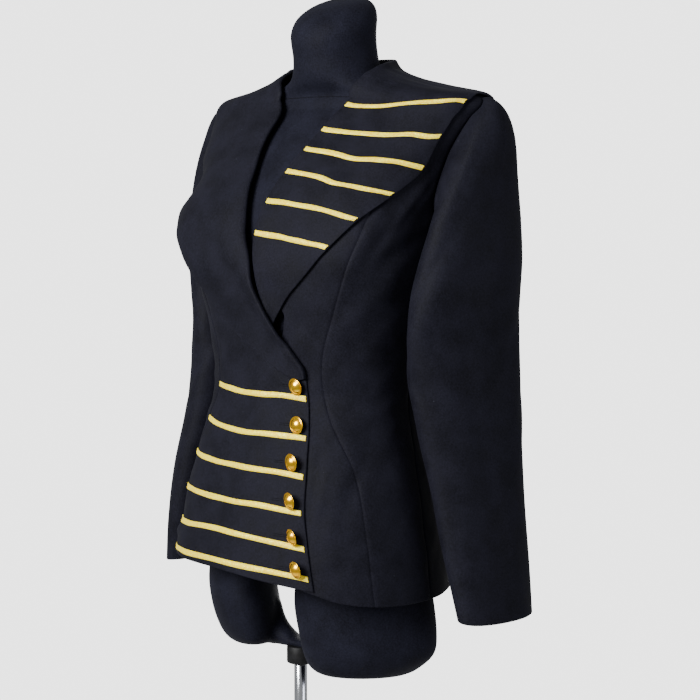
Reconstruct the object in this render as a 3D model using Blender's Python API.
"""Pilot uniform jacket, worn by a limbless dress form on a pole stand.

A hip-length fitted jacket: eight body panels with shoulder princess seams, two-piece sleeves,
a wide shawl collar in two halves, gold braid and one row of domed buttons.
Every cloth piece is a thin wall laid out on one body surface, which is addressed by an angle
(0 = centre front, positive = wearer's left) and a height above the hem.
Metres, +Z up, the front faces -Y, the stand's pole is the Z axis.
"""
import math
import bpy
import numpy as np

# Stand and datum heights
HEM_HEIGHT = 0.385
POLE_RADIUS = 0.008
SOCKET_RADIUS = 0.0135
SOCKET_BOTTOM = -0.128
SOCKET_TOP = -0.080
BASE_RADIUS = 0.150

# Cloth
CLOTH_THICKNESS = 0.0018
COLLAR_THICKNESS = 0.0016
SLEEVE_THICKNESS = 0.0016
SEAM_HALF_GAP = 0.0002
OVERLAP_LIFT = 0.0029
ROLL_RADIUS = 0.0030
ATTACH_WIDTH = 0.011
ATTACH_GAP = 0.0012
CROSSING_LIFT = 0.0054

# Braid and buttons
BRAID_WIDTH = 0.0068
BRAID_THICKNESS = 0.0009
BRAID_GAP = 0.0006
LAPEL_BRAID_GAP = 0.0011
BUTTON_RADIUS = 0.0108
BUTTON_SEAT = 0.0010

# Body sections: height above hem, centre y, half width, front depth, back depth, squareness
BODY_SECTIONS = np.array([
    (-0.040, 0.016, 0.181, 0.140, 0.142, 0.10),
    (0.000, 0.017, 0.177, 0.135, 0.138, 0.11),
    (0.060, 0.019, 0.169, 0.126, 0.129, 0.12),
    (0.130, 0.023, 0.156, 0.114, 0.117, 0.13),
    (0.190, 0.028, 0.142, 0.103, 0.105, 0.12),
    (0.235, 0.032, 0.135, 0.099, 0.099, 0.10),
    (0.290, 0.040, 0.144, 0.109, 0.099, 0.10),
    (0.350, 0.050, 0.158, 0.124, 0.103, 0.10),
    (0.395, 0.057, 0.165, 0.130, 0.105, 0.10),
    (0.450, 0.066, 0.171, 0.122, 0.104, 0.10),
    (0.510, 0.079, 0.184, 0.098, 0.096, 0.09),
    (0.555, 0.089, 0.200, 0.074, 0.082, 0.06),
    (0.577, 0.092, 0.203, 0.064, 0.072, 0.04),
    (0.588, 0.089, 0.150, 0.061, 0.064, 0.02),
    (0.598, 0.084, 0.108, 0.058, 0.060, 0.00),
    (0.611, 0.080, 0.074, 0.055, 0.057, 0.00),
    (0.636, 0.078, 0.060, 0.053, 0.055, 0.00),
    (0.670, 0.077, 0.058, 0.053, 0.055, 0.00),
])
# Bust: added depth, angle and angular width of each side, height and height width
BUST = (0.012, 42.0, 20.0, 0.405, 0.060)

# Soft folds pressed into the body surface: angle, height, long reach, half width,
# direction in degrees from level (rising towards greater angles), depth
FOLDS = (
    (60.0, 0.440, 0.060, 0.011, 38.0, 0.0026),
    (66.0, 0.400, 0.050, 0.010, 30.0, -0.0022),
    (57.0, 0.345, 0.055, 0.012, 52.0, 0.0018),
    (52.0, 0.120, 0.060, 0.010, 66.0, -0.0024),
    (42.0, 0.075, 0.060, 0.013, 80.0, 0.0020),
    (-22.0, 0.052, 0.050, 0.009, 12.0, 0.0020),
    (74.0, 0.215, 0.045, 0.009, 20.0, 0.0022),
    (-60.0, 0.420, 0.055, 0.011, -40.0, 0.0022),
    (-74.0, 0.205, 0.045, 0.009, -14.0, 0.0020),
    (150.0, 0.215, 0.050, 0.010, 8.0, -0.0024),
    (-146.0, 0.235, 0.055, 0.010, -6.0, -0.0022),
    (128.0, 0.400, 0.060, 0.012, -50.0, 0.0022),
    (-131.0, 0.385, 0.055, 0.012, 54.0, 0.0020),
)

# Hem line: angle against height
HEM_RIGHT = ((-180, 0.004), (-120, 0.013), (-60, 0.020), (-10, 0.0215), (17, 0.0145), (36, 0.0085))
HEM_LEFT = ((0, 0.0235), (8, 0.0215), (17, 0.0165), (28, 0.011), (36, 0.005), (48, -0.004), (70, -0.010),
            (100, -0.010), (140, -0.004), (180, 0.004))

# Seams, each as angle and height from the hem upwards
LEFT_EDGE = ((8, 0.0215), (6, 0.100), (5, 0.200), (6, 0.260), (10.5, 0.306))
RIGHT_EDGE = ((35.5, 0.009), (32, 0.056), (29.5, 0.095), (29, 0.135), (29, 0.180), (28, 0.226), (26.3, 0.250))
PRINCESS = ((63, 0.0), (59, 0.077), (54, 0.142), (40, 0.204), (34, 0.267), (38, 0.330), (42, 0.385),
            (46, 0.430), (49, 0.485), (50, 0.535), (52, 0.568), (60, 0.5825), (75, 0.5870), (90, 0.5885))
SIDE_SEAM = ((96, 0.0), (95, 0.120), (95, 0.235), (94, 0.340), (94, 0.427))
BACK_PRINCESS = ((136, 0.0), (138, 0.120), (142, 0.235), (142, 0.340), (138, 0.430), (135, 0.500),
                 (133, 0.550), (128, 0.573), (117, 0.5825), (104, 0.5868), (90, 0.5885))
SHOULDER_TIP = (90, 0.577)
SHOULDER_MIDDLE = (90, 0.5885)
NECK_POINT = (90, 0.5988)
BACK_NECK = ((90, 0.5988), (120, 0.5988), (150, 0.5988), (180, 0.5988))
ARMHOLE_FRONT = ((94, 0.427), (86, 0.434), (80, 0.455), (78, 0.490), (78, 0.525), (81, 0.555), (90, 0.577))
ARMHOLE_BACK = ((94, 0.427), (104, 0.434), (113, 0.458), (117, 0.495), (115, 0.530), (106, 0.560), (90, 0.577))

# Lapels and collar, from the lower tip to the centre back: fold angle and height,
# outer edge angle and height, lift of the outer part, lift half way
LEFT_COLLAR = (
    (9.8, 0.314, 12.4, 0.314, 0.0046, 0.0046),
    (7.0, 0.327, 12.8, 0.327, 0.0048, 0.0050),
    (3.0, 0.346, 16.0, 0.346, 0.0050, 0.0054),
    (0.5, 0.373, 24.5, 0.373, 0.0050, 0.0056),
    (-1.5, 0.407, 34.5, 0.407, 0.0052, 0.0058),
    (-1.0, 0.436, 43.5, 0.436, 0.0055, 0.0064),
    (0.5, 0.466, 56.0, 0.466, 0.0062, 0.0075),
    (4.0, 0.495, 65.5, 0.495, 0.0062, 0.0072),
    (8.5, 0.530, 66.5, 0.530, 0.0058, 0.0064),
    (13.5, 0.566, 69.5, 0.566, 0.0058, 0.0060),
    (18.5, 0.583, 76.5, 0.5745, 0.0056, 0.0056),
    (30.0, 0.595, 86.0, 0.5780, 0.0056, 0.0056),
    (52.0, 0.606, 94.5, 0.5780, 0.0058, 0.0058),
    (85.0, 0.619, 103.0, 0.5720, 0.0066, 0.0066),
    (118.0, 0.626, 117.0, 0.5560, 0.0066, 0.0070),
    (150.0, 0.629, 145.0, 0.5230, 0.0056, 0.0062),
    (180.0, 0.630, 180.0, 0.5050, 0.0054, 0.0060),
)
RIGHT_COLLAR = (
    (-25.6, 0.2550, -21.5, 0.2545, 0.0076, 0.0076),
    (-24.5, 0.263, -10.5, 0.262, 0.0080, 0.0080),
    (-20.0, 0.278, -1.0, 0.278, 0.0082, 0.0084),
    (-13.5, 0.299, 10.5, 0.299, 0.0084, 0.0088),
    (-5.0, 0.335, 26.0, 0.335, 0.0086, 0.0092),
    (-1.0, 0.357, 34.0, 0.357, 0.0100, 0.0098),
    (3.5, 0.393, 43.0, 0.393, 0.0170, 0.0120),
    (7.0, 0.418, 49.0, 0.418, 0.0250, 0.0150),
    (9.5, 0.442, 54.0, 0.442, 0.0280, 0.0160),
    (12.5, 0.478, 61.0, 0.478, 0.0150, 0.0120),
    (14.3, 0.510, 65.0, 0.510, 0.0190, 0.0110),
    (14.5, 0.535, 67.0, 0.535, 0.0150, 0.0090),
    (13.5, 0.566, 69.5, 0.566, 0.0080, 0.0066),
    (18.5, 0.583, 76.5, 0.5745, 0.0058, 0.0056),
    (30.0, 0.595, 86.0, 0.5780, 0.0056, 0.0056),
    (52.0, 0.606, 94.5, 0.5780, 0.0058, 0.0058),
    (85.0, 0.619, 103.0, 0.5720, 0.0066, 0.0066),
    (118.0, 0.626, 117.0, 0.5560, 0.0066, 0.0070),
    (150.0, 0.629, 145.0, 0.5230, 0.0056, 0.0062),
    (180.0, 0.630, 180.0, 0.5050, 0.0054, 0.0060),
)
# Line where each half is sewn to the neck: fold angle against the seam's angle and height
NECK_SEAM = ((18.5, 27, 0.581), (30.0, 42, 0.590), (52.0, 62, 0.596), (85.0, 88, 0.600),
             (118.0, 118, 0.600), (150.0, 150, 0.600), (180.0, 180, 0.600))

# Sleeves: height, centre x, centre y, half length of the flat section, half thickness, turn, tilt
LEFT_SLEEVE = (
    (0.425, 0.2055, 0.0780, 0.070, 0.033, 6.0, 24.0),
    (0.385, 0.206, 0.0700, 0.073, 0.035, 11.0, 10.0),
    (0.345, 0.204, 0.0640, 0.074, 0.036, 15.0, 4.0),
    (0.280, 0.198, 0.0660, 0.073, 0.036, 20.0, 0.0),
    (0.190, 0.204, 0.0730, 0.068, 0.033, 20.0, -2.0),
    (0.120, 0.213, 0.0775, 0.064, 0.030, 15.0, -4.0),
    (0.050, 0.2245, 0.0785, 0.061, 0.027, 12.0, -5.0),
    (-0.031, 0.237, 0.0820, 0.058, 0.024, 5.0, -6.0),
)
RIGHT_SLEEVE = (
    (0.425, 0.2055, 0.0880, 0.069, 0.032, 6.0, 24.0),
    (0.385, 0.206, 0.0890, 0.073, 0.035, 10.0, 10.0),
    (0.345, 0.204, 0.0900, 0.074, 0.036, 14.0, 4.0),
    (0.280, 0.199, 0.0820, 0.073, 0.036, 18.0, 0.0),
    (0.190, 0.204, 0.0700, 0.068, 0.033, 19.0, -2.0),
    (0.120, 0.211, 0.0600, 0.064, 0.030, 15.0, -4.0),
    (0.050, 0.223, 0.0550, 0.061, 0.027, 12.0, -5.0),
    (-0.011, 0.235, 0.0590, 0.058, 0.024, 5.0, -6.0),
)
# Soft sleeve folds: position along the sleeve, angle round it, reach along, half width, slope, depth
SLEEVE_FOLDS = (
    (0.42, 62.0, 0.16, 20.0, 60.0, 0.0022),
    (0.52, 88.0, 0.10, 18.0, -90.0, -0.0024),
    (0.30, 20.0, 0.14, 20.0, 30.0, -0.0018),
    (0.66, 30.0, 0.20, 22.0, 0.0, 0.0018),
    (0.55, 300.0, 0.14, 24.0, 40.0, 0.0022),
    (0.24, 320.0, 0.12, 22.0, -30.0, 0.0020),
)
CAP_END = 0.26
PANEL_STEPS = 24
ARMHOLE_STEPS = 9
NECK_STEPS = 7
FORE_SEAM = 120.0
HIND_SEAM = 240.0

# Braid: height at the inner end, half way and at the outer end
FRONT_BRAID = ((0.2370, 0.2315, 0.2265), (0.1930, 0.1820, 0.1810), (0.1490, 0.1405, 0.1372),
               (0.1050, 0.1005, 0.0955), (0.0665, 0.0665, 0.0560), (0.0315, 0.0315, 0.0225))
LAPEL_BRAID = ((0.5725, 0.5705, 0.5725), (0.5435, 0.5335, 0.5345), (0.5175, 0.5040, 0.4980),
               (0.4905, 0.4750, 0.4665), (0.4570, 0.4465, 0.4365), (0.4200, 0.4125, 0.4065))
# Buttons: angle, height, sideways and downward tilt in degrees
BUTTONS = ((22.0, 0.2420, -3, 3), (23.5, 0.1960, -4, 4), (23.0, 0.1530, -6, 4), (24.0, 0.1100, -6, 5),
           (26.5, 0.0700, -7, 6), (29.0, 0.0340, -7, 6))

# Dress form below the shoulders: height, ease inside the jacket
FORM_EASE = ((0.045, 0.0160), (0.090, 0.0120), (0.140, 0.0090), (0.190, 0.0060), (0.235, 0.0050),
             (0.290, 0.0060), (0.345, 0.0080), (0.395, 0.0080), (0.445, 0.0080), (0.490, 0.0080),
             (0.525, 0.0080), (0.550, 0.0080), (0.563, 0.0082), (0.5715, 0.0086))
# Dress form above them: height, centre y, half width, front depth, back depth, forward lean in degrees
FORM_NECK = (
    (0.5875, 0.0885, 0.150, 0.0560, 0.0590, 0.0),
    (0.5955, 0.0830, 0.106, 0.0560, 0.0550, 2.0),
    (0.6030, 0.0770, 0.072, 0.0560, 0.0490, 4.0),
    (0.6170, 0.0710, 0.0570, 0.0550, 0.0470, 7.0),
    (0.637, 0.0660, 0.0525, 0.0530, 0.0500, 12.0),
    (0.655, 0.0640, 0.0530, 0.0560, 0.0520, 20.0),
    (0.672, 0.0640, 0.0545, 0.0580, 0.0540, 24.0),
    (0.687, 0.0650, 0.0490, 0.0520, 0.0490, 25.0),
    (0.697, 0.0660, 0.0340, 0.0370, 0.0340, 26.0),
    (0.701, 0.0665, 0.0150, 0.0160, 0.0150, 26.0),
)
# Thigh stubs: height, centre x, centre y, half length, half breadth of the turned section
THIGHS = (
    (0.060, 0.084, 0.010, 0.066, 0.046),
    (0.020, 0.092, 0.009, 0.078, 0.049),
    (-0.020, 0.096, 0.008, 0.084, 0.050),
    (-0.060, 0.097, 0.008, 0.085, 0.049),
    (-0.086, 0.097, 0.008, 0.081, 0.047),
    (-0.102, 0.096, 0.008, 0.072, 0.041),
    (-0.111, 0.095, 0.008, 0.054, 0.030),
    (-0.114, 0.095, 0.008, 0.028, 0.015),
)
RIGHT_THIGH_RAISE = 0.014
THIGH_TURN = 45.0

# Colours and finish: red, green, blue, roughness, metallic
BLACK_SUITING = (0.020, 0.021, 0.030, 0.80, 0.0)
FORM_JERSEY = (0.014, 0.014, 0.020, 0.90, 0.0)
GOLD_BRAID = (0.80, 0.66, 0.30, 0.42, 0.6)
GOLD_METAL = (0.78, 0.52, 0.16, 0.28, 1.0)
BLACK_PLASTIC = (0.015, 0.015, 0.016, 0.45, 0.0)
CHROME = (0.75, 0.76, 0.78, 0.15, 1.0)
DARK_STEEL = (0.06, 0.06, 0.065, 0.40, 0.8)


def smooth_table(table, position, column=0):
    """Smooth curve through a table whose chosen column rises steadily."""
    rows = np.asarray(table, float)
    knots = rows[:, column]
    at = np.clip(np.asarray(position, float), knots[0], knots[-1])
    low = np.clip(np.searchsorted(knots, at, side="right") - 1, 0, len(knots) - 2)
    span = knots[low + 1] - knots[low]
    part = ((at - knots[low]) / span)[..., None]
    before = np.clip(low - 1, 0, len(knots) - 1)
    after = np.clip(low + 2, 0, len(knots) - 1)
    start_slope = (rows[low + 1] - rows[before]) / (knots[low + 1] - knots[before])[..., None]
    end_slope = (rows[after] - rows[low]) / (knots[after] - knots[low])[..., None]
    reach = span[..., None]
    cube = part ** 3
    square = part ** 2
    value = (2 * cube - 3 * square + 1) * rows[low] + (cube - 2 * square + part) * reach * start_slope
    return value + (3 * square - 2 * cube) * rows[low + 1] + (cube - square) * reach * end_slope


def along(points, position):
    """Smooth path through a list of points; 0 is its first end, 1 its last."""
    rows = np.asarray(points, float)
    scale = np.array([0.002, 1.0])[:rows.shape[1]] if rows.shape[1] == 2 else 1.0
    steps = np.linalg.norm(np.diff(rows * scale, axis=0), axis=1)
    knots = np.concatenate([[0.0], np.cumsum(steps)]) / steps.sum()
    return smooth_table(np.column_stack([knots, rows]), position)[..., 1:]


def fold_lift(angle, height):
    """Depth of the soft folds at one place of the body."""
    total = np.zeros(np.broadcast(angle, height).shape)
    for centre, level, reach, half_width, direction, depth in FOLDS:
        side = np.radians((np.degrees(angle) - centre + 180.0) % 360.0 - 180.0) * 0.13
        rise = height - level
        turn = math.radians(direction)
        lengthwise = side * math.cos(turn) + rise * math.sin(turn)
        crosswise = rise * math.cos(turn) - side * math.sin(turn)
        total = total + depth * np.exp(-(lengthwise / reach) ** 2 - (crosswise / half_width) ** 2)
    return total


def plain_body(angle, height):
    """Point of the body surface without folds."""
    angle, height = np.broadcast_arrays(np.asarray(angle, float), np.asarray(height, float))
    section = smooth_table(BODY_SECTIONS, height)
    sine = np.sin(angle)
    cosine = np.cos(angle)
    depth = np.where(cosine > 0, section[..., 3], section[..., 4])
    amount, place, spread, level, tall = BUST
    place, spread = math.radians(place), math.radians(spread)
    bump = np.exp(-((angle - place) / spread) ** 2) + np.exp(-((angle + place) / spread) ** 2)
    bump = amount * bump * np.exp(-((height - level) / tall) ** 2)
    across = section[..., 2] * sine * (1 + section[..., 5] * cosine ** 2) + bump * sine
    forward = section[..., 1] - depth * cosine * (1 + section[..., 5] * sine ** 2) - bump * cosine
    return np.stack([across, forward, height + HEM_HEIGHT], -1)


def body(angle, height, lift=0.0, folded=True):
    """Point of the jacket at an angle (radians) and height, moved out by lift."""
    step = 1e-3
    angle, height = np.broadcast_arrays(np.asarray(angle, float), np.asarray(height, float))
    turn = plain_body(angle + step, height) - plain_body(angle - step, height)
    rise = plain_body(angle, height + step) - plain_body(angle, height - step)
    normal = np.cross(turn, rise)
    normal = normal / np.linalg.norm(normal, axis=-1, keepdims=True)
    out = np.broadcast_to(np.asarray(lift, float), angle.shape)
    if folded:
        out = out + fold_lift(angle, height)
    return plain_body(angle, height) + normal * out[..., None]


def material(name, finish):
    """One plain surface finish."""
    made = bpy.data.materials.new(name)
    made.use_nodes = True
    shader = made.node_tree.nodes["Principled BSDF"]
    shader.inputs["Base Color"].default_value = (finish[0], finish[1], finish[2], 1.0)
    shader.inputs["Roughness"].default_value = finish[3]
    shader.inputs["Metallic"].default_value = finish[4]
    made.diffuse_color = (finish[0], finish[1], finish[2], 1.0)
    return made


def add_object(name, points, faces, finish):
    """One closed body, facing out, with its own material."""
    mesh = bpy.data.meshes.new(name)
    mesh.from_pydata([tuple(map(float, p)) for p in points], [], faces)
    mesh.polygons.foreach_set("use_smooth", [True] * len(mesh.polygons))
    mesh.validate()
    mesh.update()
    made = bpy.data.objects.new(name, mesh)
    bpy.context.scene.collection.objects.link(made)
    made.data.materials.append(material(name + "_finish", finish))
    return made


def wall(name, outer, inner, finish):
    """Closed wall between two grids of points, rows x columns x 3, outer face to the right of its rows."""
    rows, columns = outer.shape[:2]
    points = np.concatenate([outer.reshape(-1, 3), inner.reshape(-1, 3)])
    half = rows * columns
    faces = []
    for i in range(rows - 1):
        for j in range(columns - 1):
            a, b = i * columns + j, i * columns + j + 1
            c, d = b + columns, a + columns
            out = np.cross(points[c] - points[a], points[d] - points[b])
            if np.dot(points[a] + points[c] - points[b] - points[d], out) < 0:
                a, b, c, d = b, c, d, a
            faces += [(a, b, c), (a, c, d), (half + a, half + c, half + b), (half + a, half + d, half + c)]
    rim = [i for i in range(columns)]
    rim += [i * columns + columns - 1 for i in range(1, rows)]
    rim += [(rows - 1) * columns + i for i in range(columns - 2, -1, -1)]
    rim += [i * columns for i in range(rows - 2, 0, -1)]
    for k, a in enumerate(rim):
        b = rim[(k + 1) % len(rim)]
        faces += [(a, half + b, b), (a, half + a, half + b)]
    return add_object(name, points, faces, finish)


def grid_normals(points):
    """Outward directions of a grid of points."""
    across = np.gradient(points, axis=1)
    upward = np.gradient(points, axis=0)
    normal = np.cross(across, upward)
    return normal / np.linalg.norm(normal, axis=-1, keepdims=True)


def rings_body(name, rings, finish, bottom=True, top=True):
    """Closed body through rings of equal point count, from the lowest to the highest."""
    count = len(rings[0])
    points = [p for ring in rings for p in ring]
    faces = []
    for i in range(len(rings) - 1):
        for j in range(count):
            a, b = i * count + j, i * count + (j + 1) % count
            faces += [(a, b, b + count), (a, b + count, a + count)]
    for place, used, order in ((0, bottom, -1), (len(rings) - 1, top, 1)):
        if used:
            centre = len(points)
            points.append(np.mean(rings[place], axis=0))
            for j in range(count):
                a, b = place * count + j, place * count + (j + 1) % count
                faces.append((centre, a, b) if order > 0 else (centre, b, a))
    return add_object(name, points, faces, finish)


def turned(name, profile, segments, finish, place=None):
    """Body turned from radius and height pairs, first and last on the axis."""
    rings = []
    for radius, level in profile[1:-1]:
        turn = [2 * math.pi * k / segments for k in range(segments)]
        rings.append([np.array([radius * math.cos(t), radius * math.sin(t), level]) for t in turn])
    points = [p for ring in rings for p in ring]
    first, last = len(points), len(points) + 1
    points += [np.array([0.0, 0.0, profile[0][1]]), np.array([0.0, 0.0, profile[-1][1]])]
    faces = []
    for i in range(len(rings) - 1):
        for j in range(segments):
            a, b = i * segments + j, i * segments + (j + 1) % segments
            faces += [(a, b, b + segments), (a, b + segments, a + segments)]
    end = (len(rings) - 1) * segments
    for j in range(segments):
        faces += [(first, (j + 1) % segments, j), (last, end + j, end + (j + 1) % segments)]
    if place is not None:
        points = [place(p) for p in points]
    return add_object(name, points, faces, finish)


def right_lift(angle):
    """How far the right front stands off so that it laps over the left front."""
    part = np.clip((np.degrees(angle) + 13.0) / 15.0, 0.0, 1.0)
    return OVERLAP_LIFT * part * part * (3 - 2 * part)


def trace(parts):
    """Border points: each part is a path and the number of steps along it, or 0 to take its points."""
    lines = []
    for path, steps in parts:
        line = along(path, np.linspace(0.0, 1.0, steps + 1)) if steps else np.asarray(path, float)
        skip = 1 if lines and np.allclose(line[0], lines[-1][-1]) else 0
        lines.append(line[skip:])
    return np.concatenate(lines)


def patch(low, high, inner, outer):
    """Angle and height at each grid place between four sampled borders."""
    bottom, top, left, right = trace(low), trace(high), trace(inner), trace(outer)
    uu, vv = np.meshgrid(np.linspace(0.0, 1.0, len(bottom)), np.linspace(0.0, 1.0, len(left)))
    uu, vv = uu[..., None], vv[..., None]
    across = (1 - vv) * bottom[None] + vv * top[None]
    upward = (1 - uu) * left[:, None] + uu * right[:, None]
    corner = (1 - uu) * (1 - vv) * bottom[0] + uu * (1 - vv) * bottom[-1]
    corner = corner + (1 - uu) * vv * top[0] + uu * vv * top[-1]
    return across + upward - corner


def tighten(points, normal_out):
    """Move a grid's border in by half the seam gap, along the surface."""
    moved = points.copy()
    for edge, inner in (((0, slice(None)), (1, slice(None))), ((-1, slice(None)), (-2, slice(None))),
                        ((slice(None), 0), (slice(None), 1)), ((slice(None), -1), (slice(None), -2))):
        line = points[edge]
        tangent = np.gradient(line, axis=0)
        inward = np.cross(normal_out[edge], tangent)
        inward = inward / np.maximum(np.linalg.norm(inward, axis=-1, keepdims=True), 1e-9)
        towards = points[inner] - line
        sign = np.sign(np.sum(inward * towards))
        moved[edge] = moved[edge] + inward * sign * SEAM_HALF_GAP
    return moved


def panel(name, low, high, inner, outer, side=1.0, lift=None):
    """One body panel: a wall between four borders given for the wearer's left side."""
    grid = patch(low, high, inner, outer)
    angle, height = np.radians(grid[..., 0]) * side, grid[..., 1]
    raised = lift(angle) if lift else 0.0
    inside = body(angle, height, raised)
    outside = body(angle, height, raised + CLOTH_THICKNESS)
    normal = outside - inside
    inside, outside = tighten(inside, normal), tighten(outside, normal)
    if side < 0:
        inside, outside = inside[:, ::-1], outside[:, ::-1]
    wall(name, outside, inside, BLACK_SUITING)
    return grid, outside


def hem_between(hem, start, end, sign=1.0):
    """Piece of the hem line between two angles."""
    places = np.linspace(start, end, 7)
    table = np.array(hem, float)
    return tuple((a, float(smooth_table(table, sign * a)[1])) for a in places)


def with_hem(seam, hem, sign=1.0):
    """A seam path that starts on the hem line."""
    level = float(smooth_table(np.array(hem, float), sign * seam[0][0])[1])
    return ((seam[0][0], level),) + tuple(p for p in seam[1:] if p[1] > level + 0.01)


def attach_point(row, extra=0.0):
    """Where a collar half is sewn on, for one row of its table; extra clears the body panel."""
    fold = np.array(row[:2])
    edge = np.array(row[2:4])
    if fold[1] > 0.570:
        return smooth_table(np.array(NECK_SEAM, float), fold[0])[1:] + np.array([extra * 500, -extra])
    reach = body(math.radians(edge[0]), edge[1], folded=False) - body(math.radians(fold[0]), fold[1], folded=False)
    length = float(np.linalg.norm(reach))
    part = min(0.42 + extra / length, (ATTACH_WIDTH + extra) / length)
    return fold + (edge - fold) * part


def stage_places(stages):
    """Places along a table of rows, given as end row and number of steps."""
    places = [0.0]
    for end, steps in stages:
        places += list(np.linspace(places[-1], end, steps + 1)[1:])
    return places


def crossing_lift(height):
    """Extra lift of the right fold where it lies over the left lapel."""
    rise = np.clip((height - 0.286) / 0.016, 0.0, 1.0) * np.clip((0.392 - height) / 0.030, 0.0, 1.0)
    return CROSSING_LIFT * float(rise * rise * (3 - 2 * rise))


def collar(name, table, side, stages, columns, under_lift, crossing):
    """Half of the shawl collar with its lapel, folded over at the roll; stages are table row and steps."""
    table = np.array(table, float)
    places = stage_places(stages)
    rows = len(places)
    attach = np.array([attach_point(row) for row in table])
    full = smooth_table(np.column_stack([np.arange(len(table)), table, attach]), np.array(places))[:, 1:]
    fold, edge, sewn = full[:, 0:2], full[:, 2:4], full[:, 6:8]
    grid = []
    lifts = []
    for k in range(rows):
        seam_lift = under_lift(math.radians(sewn[k, 0])) + CLOTH_THICKNESS / 2
        base = under_lift(math.radians(fold[k, 0])) + CLOTH_THICKNESS / 2 + crossing(fold[k, 1])
        outer_lift, middle_lift = full[k, 4], full[k, 5]
        top = base + 2 * ROLL_RADIUS
        line = [(sewn[k], seam_lift), (sewn[k] * 0.45 + fold[k] * 0.55, base * 0.7 + seam_lift * 0.3 + 0.0002),
                (fold[k], base + 0.35 * ROLL_RADIUS), (fold[k], base + 1.55 * ROLL_RADIUS)]
        for j in range(columns - 4):
            part = (j + 0.45) / (columns - 4.55)
            early = max(0.0, 1.0 - part / 0.28)
            rise = middle_lift + (outer_lift - middle_lift) * min(1.0, max(0.0, (part - 0.35) / 0.65)) ** 1.5
            line.append((fold[k] + (edge[k] - fold[k]) * part, rise + (top - rise) * early * early))
        grid.append([point for point, _ in line])
        lifts.append([height for _, height in line])
    grid, lifts = np.array(grid), np.array(lifts)
    middle = body(np.radians(grid[..., 0]) * side, grid[..., 1], lifts)
    if side < 0:
        middle = middle[:, ::-1]
    middle[-1, :, 0] = side * SEAM_HALF_GAP * 1.5
    normal = grid_normals(middle)
    outside = middle + normal * COLLAR_THICKNESS / 2
    inside = middle - normal * COLLAR_THICKNESS / 2
    for face in (outside, inside):
        face[-1, :, 0] = side * SEAM_HALF_GAP
    wall(name, outside, inside, BLACK_SUITING)
    return grid, outside


def attach_path(table, stages):
    """The sewn line of a collar half as a panel border, from the lapel tip to the shoulder."""
    rows = np.array(table, float)
    sewn = np.array([attach_point(row, ATTACH_GAP) for row in rows])
    path = smooth_table(np.column_stack([np.arange(len(rows)), sewn]), np.array(stage_places(stages)))[:, 1:]
    path[-1] = NECK_POINT
    return path


def sleeve_loop(angle, side):
    """Armhole point at an angle round the sleeve: 0 outer, 90 front, 180 under, 270 back."""
    front = along(ARMHOLE_FRONT, 1.0 - np.clip(angle, 0.0, 180.0) / 180.0)
    rear = along(ARMHOLE_BACK, np.clip(angle - 180.0, 0.0, 180.0) / 180.0)
    place = np.where((angle <= 180.0)[..., None], front, rear)
    centre = np.array([95.0, 0.502])
    place = centre + (place - centre) * np.array([0.935, 0.978])
    return body(np.radians(place[..., 0]) * side, place[..., 1], 0.0008)


def sleeve_ring(table, position, angle, side):
    """Point of the sleeve tube below its cap."""
    rows = np.array(table, float)
    knots = np.concatenate([[0.0], np.cumsum(np.linalg.norm(np.diff(rows[:, :3], axis=0), axis=1))])
    row = smooth_table(np.column_stack([knots / knots[-1], rows]), position)[..., 1:]
    phase = np.radians(angle)
    long_part = row[..., 3] * np.sin(phase)
    short_part = row[..., 4] * np.cos(phase) * (1 + 0.10 * np.sin(phase) ** 2)
    turn = np.radians(row[..., 5])
    tilt = np.radians(row[..., 6])
    across = row[..., 1] - long_part * np.sin(turn) + short_part * np.cos(turn) * np.cos(tilt)
    forward = row[..., 2] - long_part * np.cos(turn) - short_part * np.sin(turn)
    height = row[..., 0] + short_part * np.sin(tilt) + HEM_HEIGHT
    return np.stack([across * side, forward, height], -1)


def sleeve_point(table, position, angle, side):
    """Point of a sleeve: 0 at the armhole, 1 at the cuff."""
    position, angle = np.broadcast_arrays(np.asarray(position, float), np.asarray(angle, float))
    tube = sleeve_ring(table, np.clip((position - CAP_END) / (1 - CAP_END), 0.0, 1.0), angle, side)
    start = sleeve_loop(angle, side)
    end = sleeve_ring(table, np.zeros_like(position), angle, side)
    below = sleeve_ring(table, np.full(position.shape, 0.02), angle, side) - end
    below = below / np.linalg.norm(below, axis=-1, keepdims=True)
    span = np.linalg.norm(end - start, axis=-1, keepdims=True)
    phase = np.radians(angle)
    upper = (0.5 + 0.5 * np.cos(phase))[..., None]
    outward = np.stack([np.full(angle.shape, side * 1.0), -0.55 * np.sin(phase), 0.30 * np.cos(phase) - 0.1], -1)
    outward = outward / np.linalg.norm(outward, axis=-1, keepdims=True)
    leave = outward * span * (0.55 + 0.35 * upper)
    arrive = below * span * (0.7 + 0.75 * upper)
    part = np.clip(position / CAP_END, 0.0, 1.0)[..., None]
    cube, square = part ** 3, part ** 2
    cap = (2 * cube - 3 * square + 1) * start + (cube - 2 * square + part) * leave
    cap = cap + (3 * square - 2 * cube) * end + (cube - square) * arrive
    return np.where(part < 1.0, cap, tube)


def sleeve_fold_lift(position, angle):
    """Depth of the soft folds on a sleeve."""
    total = np.zeros(position.shape)
    for centre, around, reach, half_width, slope, depth in SLEEVE_FOLDS:
        level = position - centre
        side = (angle - around - slope * level / 0.2 + 180.0) % 360.0 - 180.0
        total = total + depth * np.exp(-(level / reach) ** 2 - (side / half_width) ** 2)
    return total


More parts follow.
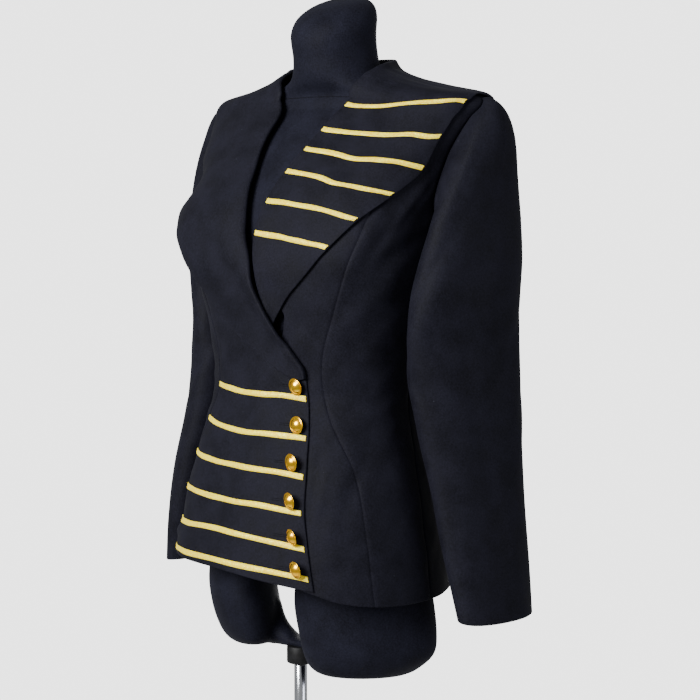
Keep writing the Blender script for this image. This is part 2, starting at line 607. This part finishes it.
def sleeve_piece(name, table, side, start, end, rows, columns):
    """Top or under sleeve: a wall between two seam angles."""
    gap = 0.28
    positions = np.concatenate([np.linspace(0.0, CAP_END, 9)[:-1], np.linspace(CAP_END, 1.0, rows - 8)])
    angles = np.linspace(start + gap, end - gap, columns)
    position, angle = np.meshgrid(positions, angles, indexing="ij")
    angle = angle % 360.0
    step = 0.4
    ahead = sleeve_point(table, position, (angle + step) % 360.0, side)
    behind = sleeve_point(table, position, (angle - step) % 360.0, side)
    lower = sleeve_point(table, np.clip(position + 0.004, 0, 1), angle, side)
    upper = sleeve_point(table, np.clip(position - 0.004, 0, 1), angle, side)
    normal = np.cross(ahead - behind, lower - upper) * side
    normal = normal / np.linalg.norm(normal, axis=-1, keepdims=True)
    middle = sleeve_point(table, position, angle, side)
    middle = middle + normal * sleeve_fold_lift(position, angle)[..., None]
    outside = middle + normal * SLEEVE_THICKNESS / 2
    inside = middle - normal * SLEEVE_THICKNESS / 2
    if side > 0:
        outside, inside = outside[:, ::-1], inside[:, ::-1]
    outside, inside = outside[::-1], inside[::-1]
    wall(name, outside, inside, BLACK_SUITING)


def on_grid(surface, row, column):
    """Point between the points of a grid."""
    i = int(np.clip(math.floor(row), 0, surface.shape[0] - 2))
    j = int(np.clip(math.floor(column), 0, surface.shape[1] - 2))
    a, b = row - i, column - j
    low = surface[i, j] * (1 - b) + surface[i, j + 1] * b
    high = surface[i + 1, j] * (1 - b) + surface[i + 1, j + 1] * b
    return low * (1 - a) + high * a


def step_along(surface, row, column, distance):
    """Row reached by going a distance up or down one column of a grid."""
    direction = 1.0 if distance > 0 else -1.0
    left = abs(distance)
    while 0.0 < row + direction * 1e-9 < surface.shape[0] - 1.0:
        target = math.floor(row + 1e-9) + 1.0 if direction > 0 else math.ceil(row - 1e-9) - 1.0
        length = float(np.linalg.norm(on_grid(surface, target, column) - on_grid(surface, row, column)))
        if length >= left:
            return row + (target - row) * left / length
        left -= length
        row = target
    return row


def braid(name, outside, columns, levels, first, last, gap):
    """Strip of braid laid across a panel from its own points, moved out by the gap."""
    normal = grid_normals(outside)
    places = [first] + [c for c in columns if first + 0.15 < c < last - 0.15] + [last]
    lower_edge = []
    upper_edge = []
    for column in places:
        part = (column - first) / (last - first)
        start_level, middle_level, end_level = levels
        bow = 4 * part * (1 - part) * (middle_level - (start_level + end_level) / 2)
        level = start_level + (end_level - start_level) * part + bow + HEM_HEIGHT
        row = 0.0
        while on_grid(outside, row + 0.02, column)[2] < level:
            row += 0.02
        lower_edge.append((step_along(outside, row, column, -BRAID_WIDTH / 2), column))
        upper_edge.append((step_along(outside, row, column, BRAID_WIDTH / 2), column))
    faces = []
    for lift in (gap + BRAID_THICKNESS, gap):
        lines = []
        for share in (0.0, 1.0):
            line = []
            for low, high in zip(lower_edge, upper_edge):
                row = low[0] * (1 - share) + high[0] * share
                point = on_grid(outside, row, low[1])
                direction = on_grid(normal, row, low[1])
                line.append(point + direction / np.linalg.norm(direction) * lift)
            lines.append(line)
        faces.append(np.array(lines))
    return wall(name, faces[0], faces[1], GOLD_BRAID)


def button(name, outside, angle, height, sideways, downward):
    """Domed button on a shank, seated just off the front."""
    centre = body(math.radians(angle), height, float(right_lift(math.radians(angle))) + CLOTH_THICKNESS)
    above = body(math.radians(angle), height, float(right_lift(math.radians(angle))) + 0.01)
    out = above - centre
    out = out / np.linalg.norm(out)
    side = np.cross([0.0, 0.0, 1.0], out)
    side = side / np.linalg.norm(side)
    rise = np.cross(out, side)
    tilted = out + side * math.tan(math.radians(sideways)) - rise * math.tan(math.radians(downward))
    tilted = tilted / np.linalg.norm(tilted)
    side = np.cross(rise, tilted)
    side = side / np.linalg.norm(side)
    rise = np.cross(tilted, side)
    seat = centre + out * BUTTON_SEAT

    def place(point):
        return seat + side * point[0] + rise * point[1] + tilted * point[2]

    rim = BUTTON_RADIUS
    profile = [(0, 0.0), (0.0021, 0.0), (0.0021, 0.0024), (rim - 0.0010, 0.0026), (rim, 0.0036),
               (rim - 0.0016, 0.0043), (rim - 0.0030, 0.0053), (rim * 0.42, 0.0072), (0, 0.0079)]
    return turned(name, profile, 14, GOLD_METAL, place)


def form_rings(count):
    """Rings of the dress form from the hips to the rounded neck cap."""
    turn = np.linspace(0.0, 2 * math.pi, count, endpoint=False)
    angle = (turn + math.pi) % (2 * math.pi) - math.pi
    rings = []
    for share, level in ((0.30, 0.004), (0.68, 0.010), (0.92, 0.024)):
        hip = body(angle, 0.045, -0.0160, folded=False)
        centre = np.array([0.0, 0.022, 0.0])
        ring = centre + (hip - centre) * np.array([share, share, 0.0])
        ring[:, 2] = level + HEM_HEIGHT
        rings.append(ring)
    for level, ease in FORM_EASE:
        ring = body(angle, level, -ease, folded=False)
        ring[:, 2] = level + HEM_HEIGHT
        rings.append(ring)
    for level, centre, half, front, back, lean in FORM_NECK:
        depth = np.where(np.cos(angle) > 0, front, back)
        along_y = -depth * np.cos(angle)
        tilt = math.radians(lean)
        ring = np.stack([half * np.sin(angle), centre + along_y * math.cos(tilt),
                         level + HEM_HEIGHT + along_y * math.sin(tilt) * 0.75], -1)
        rings.append(ring)
    return rings


def thigh_rings(side, count):
    """Rings of one thigh stub, from its rounded end upwards."""
    turn = np.linspace(0.0, 2 * math.pi, count, endpoint=False)
    yaw = math.radians(THIGH_TURN)
    rings = []
    for level, across, forward, long_half, short_half in reversed(THIGHS):
        if side < 0 and level < 0:
            level = level * (1 - RIGHT_THIGH_RAISE / 0.114)
        a, b = long_half * np.cos(turn), short_half * np.sin(turn)
        x = across + a * math.sin(yaw) + b * math.cos(yaw)
        y = forward + a * math.cos(yaw) - b * math.sin(yaw)
        ring = np.stack([x * side, y, np.full(count, level + HEM_HEIGHT)], -1)
        rings.append(ring if side < 0 else ring[::-1])
    return rings


def unite(target, others):
    """Merge bodies into the first one."""
    for other in others:
        step = target.modifiers.new("join", "BOOLEAN")
        step.operation = "UNION"
        step.solver = "EXACT"
        step.object = other
        other.hide_render = True
        other.display_type = "WIRE"
    bpy.context.view_layer.update()
    shape = bpy.data.meshes.new_from_object(target.evaluated_get(bpy.context.evaluated_depsgraph_get()))
    target.modifiers.clear()
    finish = target.data.materials[0]
    target.data = shape
    target.data.materials.clear()
    target.data.materials.append(finish)
    for other in others:
        bpy.data.objects.remove(other, do_unlink=True)
    return target


def build_form():
    """The limbless dress form, its pole socket, pole and base."""
    torso = rings_body("form_body", form_rings(28), FORM_JERSEY)
    stubs = [rings_body("stub", thigh_rings(side, 20), FORM_JERSEY) for side in (1, -1)]
    unite(torso, stubs)
    low, high = HEM_HEIGHT + SOCKET_BOTTOM, HEM_HEIGHT + SOCKET_TOP
    bore = POLE_RADIUS + 0.0003
    socket = turned("pole_socket", [(0, low + 0.030), (bore, low + 0.030), (bore, low), (SOCKET_RADIUS - 0.001, low),
                                    (SOCKET_RADIUS, low + 0.002), (SOCKET_RADIUS, high - 0.002),
                                    (SOCKET_RADIUS - 0.001, high), (0, high)], 24, BLACK_PLASTIC)
    half, bar_low, bar_high = 0.0336, low + 0.034, high - 0.0006
    corners = [(x, y, z) for z in (bar_low, bar_high) for x, y in ((-half, -0.007), (half, -0.007),
                                                                    (half, 0.007), (-half, 0.007))]
    faces = [(0, 3, 2, 1), (4, 5, 6, 7), (0, 1, 5, 4), (1, 2, 6, 5), (2, 3, 7, 6), (3, 0, 4, 7)]
    bar = add_object("bar", corners, faces, BLACK_PLASTIC)
    unite(socket, [bar])
    turned("pole", [(0, 0.0073), (POLE_RADIUS, 0.0073), (POLE_RADIUS, low + 0.0297), (0, low + 0.0297)], 24, CHROME)
    turned("base", [(0, 0.0), (BASE_RADIUS - 0.001, 0.0), (BASE_RADIUS, 0.002), (BASE_RADIUS, 0.005),
                    (BASE_RADIUS - 0.004, 0.008), (0.022, 0.0105), (0.019, 0.024), (bore, 0.024),
                    (bore, 0.007), (0, 0.007)], 32, DARK_STEEL)


def build_side(side, hem, sign):
    """Side front, side back, centre back and sleeve of one side."""
    word = "left" if side > 0 else "right"
    princess = ((with_hem(PRINCESS, hem, sign), PANEL_STEPS),)
    seam = (with_hem(SIDE_SEAM, hem, sign), PANEL_STEPS - ARMHOLE_STEPS)
    rear = ((with_hem(BACK_PRINCESS, hem, sign), PANEL_STEPS),)
    spine = with_hem(((180, 0.0), (180, 0.150), (180, 0.300), (180, 0.450), (180, 0.5988)), hem, sign)
    shoulder = (SHOULDER_MIDDLE, (90, 0.583), SHOULDER_TIP)
    panel(word + "_side_front", ((hem_between(hem, 63, 96, sign), 5),), ((shoulder, 5),), princess,
          (seam, (ARMHOLE_FRONT, ARMHOLE_STEPS)), side)
    panel(word + "_side_back", ((hem_between(hem, 96, 136, sign), 5),), ((shoulder[::-1], 5),),
          (seam, (ARMHOLE_BACK, ARMHOLE_STEPS)), rear, side)
    panel(word + "_back", ((hem_between(hem, 136, 180, sign), 7),),
          (((SHOULDER_MIDDLE, (90, 0.5937), NECK_POINT), 7),), rear,
          ((spine, PANEL_STEPS - NECK_STEPS), (BACK_NECK[::-1], NECK_STEPS)), side)
    table = LEFT_SLEEVE if side > 0 else RIGHT_SLEEVE
    sleeve_piece(word + "_top_sleeve", table, side, HIND_SEAM, FORE_SEAM + 360.0, 21, 13)
    sleeve_piece(word + "_under_sleeve", table, side, FORE_SEAM, HIND_SEAM, 21, 7)


def build():
    """Every piece of the jacket, then the form that wears it."""
    for old in list(bpy.data.objects):
        bpy.data.objects.remove(old, do_unlink=True)
    shoulder = (((NECK_POINT, (90, 0.5937), SHOULDER_MIDDLE), 7),)
    princess = ((with_hem(PRINCESS, HEM_LEFT), PANEL_STEPS),)
    edge = ((with_hem(LEFT_EDGE, HEM_LEFT), 10), (attach_path(LEFT_COLLAR, ((9, 9), (13, 4))), 0))
    panel("left_front", ((hem_between(HEM_LEFT, 8, 63), 7),), shoulder, edge, princess, 1.0)
    hem = tuple((a, float(smooth_table(np.array(HEM_RIGHT, float), -a)[1])) for a in np.linspace(-35.5, 63, 9))
    princess = ((with_hem(PRINCESS, HEM_RIGHT, -1.0), PANEL_STEPS),)
    edge = ((tuple((-a, h) for a, h in with_hem(RIGHT_EDGE, HEM_RIGHT)), 8),
            (attach_path(RIGHT_COLLAR, ((12, 11), (16, 4))), 0))
    shoulder = ((shoulder[0][0], 11),)
    _, front = panel("right_front", ((hem, 11),), shoulder, edge, princess, -1.0, right_lift)
    build_side(1.0, HEM_LEFT, 1.0)
    build_side(-1.0, HEM_RIGHT, -1.0)
    _, lapel = collar("left_collar", LEFT_COLLAR, 1.0, ((9, 12), (13, 10), (16, 5)), 12,
                      lambda angle: 0.0, lambda height: 0.0)
    collar("right_collar", RIGHT_COLLAR, -1.0, ((12, 14), (16, 10), (19, 5)), 12,
           lambda angle: float(right_lift(-angle)), crossing_lift)
    for number, levels in enumerate(LAPEL_BRAID, 1):
        braid("lapel_braid_%d" % number, lapel, range(4, 12), levels, 3.5, 10.88, LAPEL_BRAID_GAP)
    for number, levels in enumerate(FRONT_BRAID, 1):
        braid("front_braid_%d" % number, front, range(12), levels, 0.12, 10.92, BRAID_GAP)
    for number, row in enumerate(BUTTONS, 1):
        button("button_%d" % number, front, *row)
    build_form()


build()
